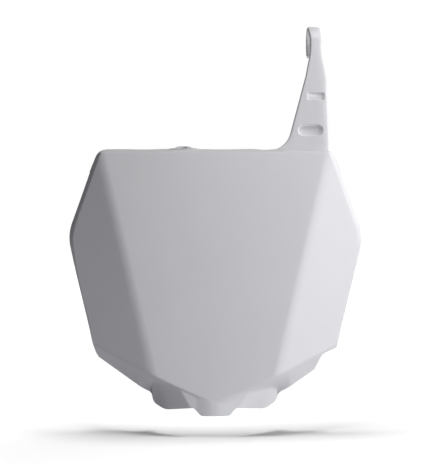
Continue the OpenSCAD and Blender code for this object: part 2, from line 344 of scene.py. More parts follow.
    def low(self, x):
        """Height of the lower outline: chin, lobe, tab and the notch on the right."""
        s = np.abs(x)
        diagonal = self.corner_h - self.DIAGONAL_RISE * (self.foot_half - s)
        step = self.lobe_h + self.STEP_RISE * (s - self.lobe_out + self.STEP_INSET)
        sill = self.lobe_h + self.SILL_TILT * (self.SILL_MIDDLE - s)
        sill = soft_max(sill, self.NIB_HEIGHT + self.NIB_RISE * (s - self.NIB_PLACE), self.OUTLINE_SOFT)
        lobe = soft_max(soft_min(diagonal, step, self.OUTLINE_SOFT), sill, self.OUTLINE_SOFT)
        tab = soft_max(self.TAB_FLANK * (s - self.tab_half), 0, self.OUTLINE_SOFT)
        low_side = self.side_z[3]
        corner = low_side + (s - self.side(low_side)) / self.lower_slope
        plain = soft_max(soft_min(lobe, tab, self.OUTLINE_SOFT), corner, self.CORNER_SOFT)
        foot = self.corner_h - self.DIAGONAL_RISE * (self.foot_half - self.NOTCH_START)
        notch_top = foot + self.NOTCH_RISE * (self.NOTCH_END - self.NOTCH_START)
        wall = foot + self.NOTCH_RISE * (x - self.NOTCH_START)
        notch = np.minimum(wall, notch_top + self.NOTCH_LEAN * (x - self.NOTCH_END))
        outline = np.where(x > 0, np.maximum(plain, notch), plain)
        return np.minimum(outline, self.v_line(s) - self.CHIN_MIN)

    def skin(self, x, z):
        """Depth of the lower skin: a nose left of the middle, a flat beside it and a lobe at each side."""
        s = np.abs(x)
        start = self.CREASE_PLACE + self.CREASE_LEAN * (z - self.CREASE_HEIGHT)
        flank = np.maximum(x, -self.FLANK_END) + self.NOSE_SHIFT
        nose = self.FLANK_SLOPE * (np.hypot(flank, self.NOSE_SOFT) - self.NOSE_SOFT)
        turn = np.clip((s - self.LOBE_TURN) / (self.lobe_end - self.LOBE_TURN), 0, 1)
        lobe = self.CREASE_SLOPE * soft_max(s - start, 0, self.CREASE_SOFT)
        bend = self.TURN_DEPTH * (1 - np.sqrt(1 - turn * turn))
        lobe += bend + self.SKIN_FALL * np.maximum(s - self.lobe_end, 0)
        return nose + lobe + self.SKIN_LEAN * np.maximum(self.v_fold(x) - z, 0)

    def front(self, x, z):
        """Depth of the front surface at x and z."""
        s = np.abs(x)
        fold = self.fold(z)
        c = np.minimum(s, fold)
        crown = c * c / (2 * self.crown_r) + (s - c) * fold / self.crown_r
        wing = self.wing_slope * math.cos(math.atan(self.fold_lean)) * (s - fold)
        wing = soft_max(wing, 0, self.fold_soft * self.wing_slope)
        ledge = ease((s - self.LEDGE_START) / self.LEDGE_EASE)
        ledge *= ease((self.LEDGE_END - s) / self.LEDGE_EASE)
        chin = (self.chin_slope + self.LEDGE * ledge) * (self.v_fold(x) - z)
        chin = soft_max(chin, 0, self.CHIN_SOFT)
        rim = self.rim_slope * (s - self.side(z) + self.rim(z))
        flange = self.top_slope * (z - self.fold_h)
        edge_soft = mix(self.RIM_SOFT, self.EDGE_SOFT, ease((flange - rim) / self.TURN_SPAN + 0.5))
        skin = self.skin(x, z)
        chin = soft_min(chin, skin, np.clip(skin, self.FINE, self.LOBE_SOFT))
        return crown + wing + chin + soft_max(soft_max(rim, flange, self.CORNER_BLEND), 0, edge_soft)

    def inward(self, x, z):
        """Direction from the front surface into the wall."""
        h = self.NORMAL_SPAN
        gx = (self.front(x + h, z) - self.front(x - h, z)) / (2 * h)
        gz = (self.front(x, z + h) - self.front(x, z - h)) / (2 * h)
        return unit(np.stack([-gx, np.ones_like(gx), -gz], axis=-1))


class BoardGrid:
    """Rows from the top edge down and columns from side to side, closer together at the folds."""

    # Just past 1, so that the last part of a direction takes in its own end
    LAST = 1.0001
    # Bands from the top edge down and zones from the middle out, in parts: start, end and steps
    FLANGE = ((0, 0.75, 8), (0.75, 1, 9))
    PANEL = ((0, 0.006, 8), (0.006, 0.03, 8), (0.03, 0.95, 88), (0.95, 1, 14))
    CHIN = ((0, LAST, 36),)
    ZONES = (((0, 1, 48),), ((0, 1, 14),), ((0, 1, 26),), ((0, LAST, 14),))
    TURN_POWER = 24
    RIM_MARGIN = 1.5
    WING_MIN = 1
    # Reach of the inset from the border, steps of a rounded edge, and passes that even out its way
    BLEND = 4
    EDGE_STEPS = 4
    PASSES = 3

    def __init__(self, form):
        self.form = form
        bands = (self.FLANGE, self.PANEL, self.CHIN)
        self.rows = [(band, t) for band, parts in enumerate(bands) for t in self.shares(parts)]
        self.half = [(zone, t) for zone, parts in enumerate(self.ZONES) for t in self.shares(parts)]
        self.x, self.z = self.inset(*self.places())

    @staticmethod
    def shares(parts):
        """Even steps within each part of a band."""
        steps = [np.linspace(start, end, n, endpoint=end > 1) for start, end, n in parts]
        return np.minimum(np.concatenate(steps), 1)

    def curve(self, k, c):
        """Height of the k-th border between bands at a share c of its width."""
        form = self.form
        if k == 0:
            return form.top(c * form.side(form.side_z[0]))
        if k == 1:
            return mix(form.fold_h, form.side_z[1], np.abs(c) ** self.TURN_POWER)
        if k == 2:
            return form.v_line(np.abs(c) * form.side(form.side_z[2]))
        return form.low(c * form.side(form.side_z[3]))

    def places(self):
        """x and z of each grid point, before the edges are rounded."""
        form = self.form
        xs, zs = [], []
        for band, t in self.rows:
            row_side = mix(form.side_z[band], form.side_z[band + 1], t)
            reach = form.side(row_side)

            def height(c):
                """Height of the row at a share c of its half width."""
                return mix(self.curve(band, c), self.curve(band + 1, c), t)

            rim_s = reach - form.rim(row_side) - self.RIM_MARGIN
            bend = form.fold(height(form.fold(row_side) / reach))
            low = min(bend - form.fold_soft, rim_s - 2 * form.fold_soft - self.WING_MIN)
            marks = (0, low, low + 2 * form.fold_soft, rim_s, reach)
            s = np.array([mix(marks[zone], marks[zone + 1], share) for zone, share in self.half])
            x = np.concatenate([-s[:0:-1], s])
            xs.append(x)
            zs.append(height(x / reach))
        return np.array(xs), np.array(zs)

    def outward(self, points):
        """Directions in the surface, square to the border and away from the board, on each side."""
        sides = []
        for flip in (points, points[::-1], points.transpose(1, 0, 2), points[:, ::-1].transpose(1, 0, 2)):
            along = unit(np.gradient(flip[0], axis=0))
            away = flip[0] - flip[2]
            away = away - np.sum(away * along, axis=-1, keepdims=True) * along
            sides.append(unit(away))
        return sides

    def inset(self, x, z):
        """Draws the border in by the edge radius, and the points near it by less and less."""
        form = self.form
        points = np.stack([x, form.front(x, z), z], axis=-1)
        top, low, left, right = self.outward(points)
        steps_down = np.linalg.norm(np.diff(points, axis=0), axis=-1)
        steps_over = np.linalg.norm(np.diff(points, axis=1), axis=-1)
        down = np.concatenate([np.zeros((1, x.shape[1])), np.cumsum(steps_down, axis=0)])
        over = np.concatenate([np.zeros((x.shape[0], 1)), np.cumsum(steps_over, axis=1)], axis=1)
        shift, total = np.zeros(points.shape), np.zeros(x.shape)
        for reach, way in (
            (down, top[None, :, :]),
            (down[-1:] - down, low[None, :, :]),
            (over, left[:, None, :]),
            (over[:, -1:] - over, right[:, None, :]),
        ):
            weight = np.clip(1 - reach / self.BLEND, 0, 1)
            shift += weight[..., None] * way
            total += weight
        shift *= -form.edge_r / np.maximum(total, 1)[..., None]
        return x + shift[..., 0], z + shift[..., 2]

    def rounded_edge(self, front, inward, ring):
        """Loops of points round the border, from the front surface over both edges to the back one."""
        top, low, left, right = self.outward(front)
        away = np.concatenate([top[:-1], right[:-1], low[:0:-1], left[:0:-1]])
        for _ in range(self.PASSES):
            away = unit(np.roll(away, 1, axis=0) + 2 * away + np.roll(away, -1, axis=0))
        into = inward.reshape(-1, 3)[ring]
        away = unit(away - np.sum(away * into, axis=-1, keepdims=True) * into)
        base = front.reshape(-1, 3)[ring]
        r = self.form.edge_r
        turns = np.radians(np.arange(self.EDGE_STEPS + 1) * 90 / self.EDGE_STEPS)
        near, far = base + r * into, base + (self.form.wall - r) * into
        loops = [near + r * (math.sin(a) * away - math.cos(a) * into) for a in turns[1:]]
        return loops + [far + r * (math.cos(a) * away + math.sin(a) * into) for a in turns[:-1]]

    def mesh(self):
        """Points and faces of the closed shell with rounded edges."""
        form, x, z = self.form, self.x, self.z
        front = np.stack([x, form.front(x, z), z], axis=-1)
        inward = form.inward(x, z)
        back = front + form.wall * inward
        count = x.size
        index = np.arange(count).reshape(x.shape)
        ring = np.concatenate([index[0, :-1], index[:-1, -1], index[-1, :0:-1], index[:0:-1, 0]])
        loops = self.rounded_edge(front, inward, ring)
        points = np.concatenate([front.reshape(-1, 3), back.reshape(-1, 3)] + loops)
        a, b, c, d = index[:-1, :-1], index[:-1, 1:], index[1:, 1:], index[1:, :-1]
        skin = np.stack([a, d, c, b], axis=-1).reshape(-1, 4)
        faces = [skin, skin[:, ::-1] + count]
        around = np.arange(len(ring))
        levels = [2 * count + k * len(ring) + around for k in range(len(loops))]
        levels = [ring] + levels + [ring + count]
        for lower, upper in zip(levels[:-1], levels[1:]):
            faces.append(np.stack([lower, np.roll(lower, -1), np.roll(upper, -1), upper], axis=-1))
        return points, np.concatenate(faces)


# Meshes


def mesh_object(name, points, faces):
    """A mesh object from points in millimetres, with the board's front plane where the frame has it."""
    placed = np.asarray(points, float) + np.array([0, FRONT_PLANE, 0])
    mesh = bpy.data.meshes.new(name)
    mesh.from_pydata((placed * MILLI).tolist(), [], [list(map(int, f)) for f in faces])
    bm = bmesh.new()
    bm.from_mesh(mesh)
    bmesh.ops.recalc_face_normals(bm, faces=bm.faces)
    bm.to_mesh(mesh)
    bm.free()
    obj = bpy.data.objects.new(name, mesh)
    bpy.context.scene.collection.objects.link(obj)
    return obj


def section_sweep(sections):
    """Points and faces of a closed solid through sections that have the same number of points."""
    sections = np.asarray(sections)
    count, n = sections.shape[:2]
    faces = [list(range(n)), list(range((count - 1) * n, count * n))]
    for k in range(count - 1):
        for i in range(n):
            j = (i + 1) % n
            faces.append([k * n + i, k * n + j, (k + 1) * n + j, (k + 1) * n + i])
    return sections.reshape(-1, 3), faces


def rounded_slab(outline, thickness, radius, steps=3):
    """Points and faces of a slab with rounded edges: the outline lies in x and y, the slab rises in z."""
    along = unit(np.roll(outline, -1, axis=0) - np.roll(outline, 1, axis=0))
    x, y = outline.T
    turn = np.sum(x * np.roll(y, -1) - y * np.roll(x, -1))
    away = np.stack([along[:, 1], -along[:, 0]], axis=-1) * np.sign(turn)
    bends = np.linspace(0, math.pi / 2, steps + 1)
    levels = [(radius * (1 - math.sin(a)), radius * (1 - math.cos(a))) for a in bends]
    levels += [(inset, thickness - rise) for inset, rise in reversed(levels)]
    sections = [np.column_stack([outline - inset * away, np.full(len(x), rise)]) for inset, rise in levels]
    return section_sweep(sections)


def combine(obj, tool, operation):
    """Joins or cuts obj with tool, and removes the tool."""
    step = obj.modifiers.new("combine", "BOOLEAN")
    step.operation = operation
    step.solver = "MANIFOLD"
    step.object = tool
    view = bpy.context.evaluated_depsgraph_get()
    mesh = bpy.data.meshes.new_from_object(obj.evaluated_get(view), depsgraph=view)
    obj.modifiers.clear()
    old = obj.data
    obj.data = mesh
    bpy.data.meshes.remove(old)
    spare = tool.data
    bpy.data.objects.remove(tool)
    bpy.data.meshes.remove(spare)


def arc(x, y, radius, start, end, steps):
    """Points on an arc, with angles in degrees."""
    a = np.radians(np.linspace(start, end, steps + 1))
    return np.column_stack([x + radius * np.cos(a), y + radius * np.sin(a)])


def corner_arcs(x0, x1, y0, y1, radius, steps):
    """The rounded corners of a rectangle as four arcs, from the lower right one round to the lower left."""
    left, right, low, high = x0 + radius, x1 - radius, y0 + radius, y1 - radius
    corners = ((right, low), (right, high), (left, high), (left, low))
    return [arc(x, y, radius, 90 * k - 90, 90 * k, steps) for k, (x, y) in enumerate(corners)]


class EarForm:
    """The screw ear in the plane of the top flange, and the tool that cuts its hole."""

    START = 3
    FLARE_R = 5
    EDGE_R = 0.7
    PAST = 4
    CHAMFER = 0.2
    SEGMENTS = 64
    HEAD_STEPS = 48
    FLARE_STEPS = 12
    LEAST_GAP = 0.01

    def __init__(self, sizes, form):
        ear = sizes.ear
        place = ear.place / MILLI
        self.back = ear.hole_back / MILLI
        self.hole_r = ear.hole_diameter / 2 / MILLI
        self.r = ear.radius / MILLI
        self.t = ear.thickness / MILLI
        self.form = form
        proud = (self.t - form.wall) / 2
        crown = place**2 / (2 * form.crown_r)
        self.matrix = (
            Matrix.Translation((-place, crown, form.fold_h))
            @ Matrix.Rotation(form.flange_angle, 4, "X")
            @ Matrix.Translation((0, 0, proud))
        )

    def placed(self, points):
        """Points of the ear's own plane in the board's space."""
        m = np.array(self.matrix)
        return np.asarray(points) @ m[:3, :3].T + m[:3, 3]

    def plate(self):
        """The ear with its flared root and rounded edges."""
        flare, end = self.FLARE_R, self.form.flange_depth + self.FLARE_R
        reach = math.sqrt((self.r + flare) ** 2 - (end - self.back) ** 2)
        turn = math.degrees(math.atan2(end - self.back, reach))
        outline = np.concatenate(
            [
                [[-reach, self.START], [reach, self.START]],
                arc(reach, end, flare, 270, 180 + turn, self.FLARE_STEPS),
                arc(0, self.back, self.r, turn, 180 - turn, self.HEAD_STEPS),
                arc(-reach, end, flare, -turn, -90, self.FLARE_STEPS),
            ]
        )
        keep = np.linalg.norm(outline - np.roll(outline, 1, axis=0), axis=-1) > self.LEAST_GAP
        points, faces = rounded_slab(outline[keep], self.t, self.EDGE_R)
        return self.placed(points - np.array([0, 0, self.t])), faces

    def hole(self):
        """A round cutter with a chamfer where it leaves each face."""
        r, c, t = self.hole_r, self.CHAMFER, self.t
        wide = r + c + self.PAST
        profile = [(wide, -t - self.PAST), (r, -t + c), (r, -c), (wide, self.PAST)]
        sections = []
        for radius, height in profile:
            ring = arc(0, self.back, radius, 0, 360, self.SEGMENTS)[:-1]
            sections.append(np.column_stack([ring, np.full(len(ring), height)]))
        points, faces = section_sweep(sections)
        return self.placed(points), faces


class StrapForm:
    """The strap as one sweep of rounded sections, up from the flange and round the loop."""

    # Neck below the loop, and its left edge: height above the loop's centre and distance in from its side
    NECK_DROP = 13
    NECK_GROW = 0.6
    NECK_SHIFT = -2.3
    NECK_BLEND = 7
    PINCH = ((11, 0.05), (3.4, 1.65), (-6.6, 1.8), (-15.3, 1.05), (-20.2, -0.2), (-30.2, -1.95))
    # Root in the top flange, and the waist between root and neck
    ROOT_SINK = 1.2
    ROOT_PAST = 2
    ROOT_FILLET = 19
    ROOT_LEAN = 12
    ROOT_REACH = 20.7
    ROOT_INSET = 6.6
    WAIST_SHARE = 0.76
    WAIST_OUT = 0.33
    HIP_DROP = 25
    # Reach and steps over which the outline's corners are eased
    EASE_SPAN = 3
    EASE_STEPS = 7
    # Upper slot: the lean of its left, right, lower and upper wall, and the fall of its floor
    SLOT_RISE = 46.5
    SLOT_SHIFT = 3
    SLOT_RADIUS = 0.5
    SLOT_WALLS = (1.3, 3, 0.4, 0.7)
    SLOT_RAMP = 0.5
    # Lower recess, with the inset and the height above its floor of each step of its rounded foot
    OVAL_RISE = 17
    OVAL_SHIFT = 0.9
    OVAL_WALL = 1.4
    OVAL_LEAN = 1.2
    OVAL_FOOT = ((0.6, 0.7), (0.9, 0.2), (1.5, 0))
    # Cross-section: rounded edges, a roll to the right and a bevel on the left
    EDGE_R = 1.1
    LEAST_R = 0.05
    ROLL_WIDTH = 8
    ROLL_DEPTH = 1.3
    BEVEL = 0.9
    # Cutting tools: their lip below the face, and their reach past it
    LIP_R = 0.3
    PAST = 4
    # Steps of the mesh, and the free end: share of the edge's radius, and inset
    EDGE_STEPS = 4
    SLOT_STEPS = 5
    OVAL_STEPS = 24
    ROOT_STEPS = 24
    LOOP_STEPS = 110
    ACROSS = 10
    RISE_STEP = 1.6
    END = ((0.25, 0.02), (0.5, 0.1), (0.75, 0.25), (1, 0.55))

    def __init__(self, sizes, form):
        strap = sizes.strap
        self.form = form
        self.t = strap.thickness / MILLI
        self.y = strap.set_back / MILLI
        self.bar_r = strap.bar_diameter / 2 / MILLI
        self.loop_r = self.bar_r + self.t
        self.loop_angle = strap.loop_angle
        self.loop_w = strap.loop_width / MILLI
        self.slot_w, self.slot_h = strap.slot_width / MILLI, strap.slot_height / MILLI
        self.slot_depth = strap.slot_depth / MILLI
        self.oval_w, self.oval_h = strap.oval_width / MILLI, strap.oval_height / MILLI
        self.oval_depth = strap.oval_depth / MILLI
        place = strap.place / MILLI
        self.loop_z = form.board_h + strap.rise / MILLI - self.loop_r
        self.left, self.right = place - self.loop_w / 2, place + self.loop_w / 2
        self.neck_z = self.loop_z - self.NECK_DROP
        self.root_z = form.board_h - self.ROOT_SINK
        self.root_left = place - self.ROOT_REACH - self.ROOT_FILLET
        root_right = form.top_half - self.ROOT_INSET
        waist_z = mix(self.root_z, self.neck_z, self.WAIST_SHARE)
        waist_right = mix(root_right, self.right, self.WAIST_OUT)
        self.left_s = self.root_left + self.ROOT_FILLET * math.cos(math.radians(self.ROOT_LEAN))
        self.left_z = self.root_z + self.ROOT_FILLET * (1 - math.sin(math.radians(self.ROOT_LEAN)))
        neck_left = self.left - self.NECK_GROW
        neck = [[self.loop_z + rise, self.left + pinch] for rise, pinch in reversed(self.PINCH)]
        self.left_marks = np.array([[self.left_z, self.left_s]] + neck)
        self.right_marks = np.array(
            [
                [form.fold_h - self.NECK_GROW, root_right],
                [waist_z - self.HIP_DROP, waist_right + self.NECK_GROW],
                [waist_z, waist_right],
                [self.neck_z, self.right + self.NECK_GROW],
                [self.neck_z + self.NECK_BLEND, self.right],
                [self.loop_z, self.right],
            ]
        )

        def middle(z):
            """Middle of the strap, between the straight lines along its edges."""
            span = self.neck_z + self.NECK_SHIFT - self.left_z
            left = mix(self.left_s, neck_left, (z - self.left_z) / span)
            return (left + mix(root_right, waist_right, (z - self.root_z) / (waist_z - self.root_z))) / 2

        self.slot_z = self.root_z + self.SLOT_RISE
        self.slot_x = middle(self.slot_z) + self.SLOT_SHIFT
        self.oval_z = self.root_z + self.OVAL_RISE
        self.oval_x = middle(self.oval_z) + self.OVAL_SHIFT

    def sides(self, z):
        """Left and right edge of the strap at height z, eased over the outline's corners."""
        heights = z + np.linspace(-self.EASE_SPAN, self.EASE_SPAN, self.EASE_STEPS)
        return [np.mean(np.interp(heights, *marks.T)) for marks in (self.left_marks, self.right_marks)]

    def section(self, left, right, shrink=0.0):
        """A rounded section as (x, depth) points, smaller by shrink on every side."""
        r = max(self.EDGE_R - shrink, self.LEAST_R)
        x0, x1, d0, d1 = left + shrink, right - shrink, shrink, self.t - shrink
        corners = corner_arcs(x0, x1, d0, d1, r, self.EDGE_STEPS)
        parts = []
        for k, corner in enumerate(corners):
            parts.append(corner)
            if k % 2 == 1:
                parts.append(np.linspace(corner[-1], corners[(k + 1) % 4][0], self.ACROSS + 1)[1:-1])
        flat = np.concatenate(parts)
        over = np.clip((flat[:, 0] - (x1 - self.ROLL_WIDTH)) / self.ROLL_WIDTH, 0, 1)
        front = 1 - np.clip((flat[:, 1] - d0) / (d1 - d0), 0, 1)
        flat[:, 1] += self.ROLL_DEPTH * front * (1 - np.sqrt(1 - over * over))
        flat[:, 0] += self.BEVEL * front * np.clip(1 - (flat[:, 0] - x0) / (2 * self.EDGE_R), 0, 1)
        return flat

    def sweep(self):
        """Sections from the root up to the loop and round to its free end."""
        heights = [(self.root_z - self.ROOT_SINK, self.root_left - self.ROOT_PAST)]
        for a in np.radians(np.linspace(-90, -self.ROOT_LEAN, self.ROOT_STEPS)):
            x = self.root_left + self.ROOT_FILLET * math.cos(a)
            heights.append((self.root_z + self.ROOT_FILLET * (1 + math.sin(a)), x))
        for z in np.arange(self.left_z + self.RISE_STEP, self.loop_z, self.RISE_STEP):
            heights.append((z, self.sides(z)[0]))
        sections = []
        for z, left in heights:
            flat = self.section(left, self.sides(z)[1])
            sections.append(np.column_stack([flat[:, 0], self.y + flat[:, 1], np.full(len(flat), z)]))
        bends = [(a, 0) for a in np.linspace(0, self.loop_angle, self.LOOP_STEPS)]
        bends += [(self.loop_angle + share * self.EDGE_R / self.loop_r, inset) for share, inset in self.END]
        for a, shrink in bends:
            rising = a < math.pi / 2
            left = self.sides(self.loop_z + self.loop_r * math.sin(a))[0] if rising else self.left
            flat = self.section(left, self.right, shrink)
            reach = self.loop_r - flat[:, 1]
            y = self.y + self.loop_r - reach * math.cos(a)
            sections.append(np.column_stack([flat[:, 0], y, self.loop_z + reach * math.sin(a)]))
        return section_sweep(sections)

    def upright(self, levels):
        """A tool through outlines in x and z, each with its depth behind the strap's front."""
        sections = []
        for outline, depth in levels:
            y = np.full(len(outline), self.y + depth)
            sections.append(np.column_stack([outline[:, 0], y, outline[:, 1]]))
        return section_sweep(sections)

    def slot_outline(self, left=0.0, right=0.0, low=0.0, high=0.0):
        """The upper slot, drawn in by a different length on each side."""
        x0, x1 = self.slot_x - self.slot_w / 2 + left, self.slot_x + self.slot_w / 2 - right
        z0, z1 = self.slot_z - self.slot_h / 2 + low, self.slot_z + self.slot_h / 2 - high
        return np.concatenate(corner_arcs(x0, x1, z0, z1, self.SLOT_RADIUS, self.SLOT_STEPS))

    def slot(self):
        """The upper slot as a shallow pocket: its walls lean, and its floor falls towards the right."""
        mouth = self.slot_outline(*[-self.PAST] * 4)
        floor = self.slot_outline(*self.SLOT_WALLS)
        fall = self.SLOT_RAMP * (floor[:, 0] - self.slot_x) / (self.slot_w / 2)
        levels = [(mouth, -self.PAST), (self.slot_outline(), self.LIP_R), (floor, self.slot_depth + fall)]
        return self.upright(levels)

    def oval_outline(self, grow=0.0):
        """The lower recess, an oval with round ends."""
        r, half = self.oval_h / 2 + grow, (self.oval_w - self.oval_h) / 2
        right = arc(self.oval_x + half, self.oval_z, r, -90, 90, self.OVAL_STEPS)
        left = arc(self.oval_x - half, self.oval_z, r, 90, 270, self.OVAL_STEPS)
        return np.concatenate([right, left])

    def oval(self):
        """The lower recess with leaning walls and a rounded foot."""
        steps = [(-self.PAST, -self.PAST), (0, self.LIP_R)]
        steps += [(inset, self.oval_depth - rise) for inset, rise in self.OVAL_FOOT]
        levels = []
        for inset, depth in steps:
            outline = self.oval_outline(-inset)
            right = np.clip((outline[:, 0] - self.oval_x) / (self.oval_w / 2), 0, 1)
            outline[:, 0] -= self.OVAL_LEAN * max(depth - self.LIP_R, 0) * right
            levels.append((outline, depth))
        return self.upright(levels)

    def boss(self):
        """The low boss behind the strap that holds the recess's floor."""
        depth, r = self.oval_depth + self.OVAL_WALL, self.EDGE_R / 2
        steps = ((0, self.t / 2), (0, depth - r), (r / 3, depth - r / 3), (r, depth))
        return self.upright([(self.oval_outline(self.OVAL_WALL - inset), d) for inset, d in steps])


# Materials: scales of the noises, how they mix, and the changes of tone and roughness that they make

NOISE_SCALES = {"Grain scale": 1400.0, "Wave scale": 22.0, "Scuff scale": 160.0}
WAVE_HEIGHT = 6.0
SCUFF_RANGE = (0.62, 0.78)
SCUFF_SHARE = 0.35
CLOUD_TONES = (0.975, 1.02)
SCUFF_TONE = 0.93
ROUGH_CHANGES = (-0.04, 0.05)


def feed(tree, socket, value):
    """Links an input to another node's socket, or sets it to a plain value."""
    if isinstance(value, bpy.types.NodeSocket):
        tree.links.new(value, socket)
    else:
        socket.default_value = value


def add_node(tree, kind, place, **inputs):
    """A node of a kind at a place, with its inputs fed by name."""
    node = tree.nodes.new(kind)
    node.location = place
    for name, value in inputs.items():
        feed(tree, node.inputs[name.replace("_", " ")], value)
    return node


def calculate(tree, operation, place, *values):
    """The result of a Math node."""
    node = add_node(tree, "ShaderNodeMath", place)
    node.operation = operation
    for socket, value in zip(node.inputs, values):
        feed(tree, socket, value)
    return node.outputs[0]


def remap(tree, place, value, source=(0, 1), target=(0, 1)):
    """A Map Range node that moves a value from one range to another."""
    node = add_node(tree, "ShaderNodeMapRange", place, Value=value)
    for name, limit in zip(("From Min", "From Max", "To Min", "To Max"), (*source, *target)):
        node.inputs[name].default_value = limit
    return node


def blend(tree, place, share, first, second):
    """The colour at a share of the way from the first to the second."""
    node = add_node(tree, "ShaderNodeMix", place)
    node.data_type = "RGBA"
    for k, value in ((0, share), (6, first), (7, second)):
        feed(tree, node.inputs[k], value)
    return node.outputs[2]


def bare_tree(owner):
    """The emptied node tree of a material or a world."""
    owner.use_nodes = True
    owner.node_tree.nodes.clear()
    return owner.node_tree


def moulded_plastic():
    """Moulded plastic: fine grain, soft waviness and faint scuffs, from the surface's own coordinates."""
    tree = bpy.data.node_groups.new("moulded_plastic", "ShaderNodeTree")
    face = tree.interface
    for name, default in NOISE_SCALES.items():
        socket = face.new_socket(name=name, in_out="INPUT", socket_type="NodeSocketFloat")
        socket.default_value = default
    for name in ("Height", "Cloud", "Scuff"):
        face.new_socket(name=name, in_out="OUTPUT", socket_type="NodeSocketFloat")
    start = add_node(tree, "NodeGroupInput", (-900, 0))
    place = add_node(tree, "ShaderNodeTexCoord", (-900, -300)).outputs["Object"]

    def noise(name, height, **inputs):
        """A noise over the surface, with its scale from outside."""
        scale = start.outputs[name]
        node = add_node(tree, "ShaderNodeTexNoise", (-500, height), Vector=place, Scale=scale, **inputs)
        return node.outputs["Fac"]

    grain = noise("Grain scale", 200, Detail=3.0, Roughness=0.6)
    wave = noise("Wave scale", -50, Detail=2.0, Roughness=0.5)
    scuff = noise("Scuff scale", -300, Detail=5.0, Roughness=0.75, Distortion=1.5)
    thin = remap(tree, (-200, -300), scuff, SCUFF_RANGE)
    height = calculate(tree, "MULTIPLY_ADD", (200, 150), wave, WAVE_HEIGHT, grain)
    add_node(tree, "NodeGroupOutput", (600, 0), Height=height, Cloud=wave, Scuff=thin.outputs["Result"])
    return tree


def shell_plastic(look):
    """White moulded plastic with a soft sheen."""
    material = bpy.data.materials.new("white_shell_plastic")
    tree = bare_tree(material)
    detail = add_node(tree, "ShaderNodeGroup", (-600, 0))
    detail.node_tree = moulded_plastic()
    height, cloud, scuff = (detail.outputs[name] for name in ("Height", "Cloud", "Scuff"))
    dark, light, worn = ((*(Vector(look.colour) * tone), 1) for tone in (*CLOUD_TONES, SCUFF_TONE))
    base = blend(tree, (-200, 250), cloud, dark, light)
    faint = calculate(tree, "MULTIPLY", (-200, 50), scuff, SCUFF_SHARE)
    roughness = [look.roughness + change for change in ROUGH_CHANGES]
    rough = remap(tree, (-200, -150), cloud, target=roughness)
    bump = add_node(tree, "ShaderNodeBump", (100, -250), Strength=1.0, Distance=look.grain, Height=height)
    shader = add_node(
        tree,
        "ShaderNodeBsdfPrincipled",
        (400, 0),
        Base_Color=blend(tree, (100, 250), faint, base, worn),
        Roughness=rough.outputs["Result"],
        IOR=1.46,
        Normal=bump.outputs["Normal"],
    )
    add_node(tree, "ShaderNodeOutputMaterial", (700, 0), Surface=shader.outputs["BSDF"])
    return material


# Operators


class NUMBER_BOARD_OT_moulding(bpy.types.Operator):
    """Build the board, its ear and its strap as one moulding that stands for the frame's node"""

    bl_idname = "number_board.moulding"
    bl_label = "Moulding"

    SHARP_ANGLE = 25

    def execute(self, context):
        sizes = context.scene.number_board
        form = BoardForm(sizes)
        moulding = mesh_object(PIECE, *BoardGrid(form).mesh())
        ear, strap = EarForm(sizes, form), StrapForm(sizes, form)
        handle = mesh_object("strap", *strap.sweep())
        combine(handle, mesh_object("boss", *strap.boss()), "UNION")
        combine(handle, mesh_object("slot_tool", *strap.slot()), "DIFFERENCE")
        combine(handle, mesh_object("oval_tool", *strap.oval()), "DIFFERENCE")
        combine(moulding, handle, "UNION")
        combine(moulding, mesh_object("ear", *ear.plate()), "UNION")
        combine(moulding, mesh_object("ear_hole_tool", *ear.hole()), "DIFFERENCE")
        mesh = moulding.data
        mesh.shade_smooth()
        mesh.set_sharp_from_angle(angle=math.radians(self.SHARP_ANGLE))
        mesh.materials.clear()
        mesh.materials.append(shell_plastic(sizes.plastic))
        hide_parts(NODE)
        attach(moulding, BODY)
        return {"FINISHED"}


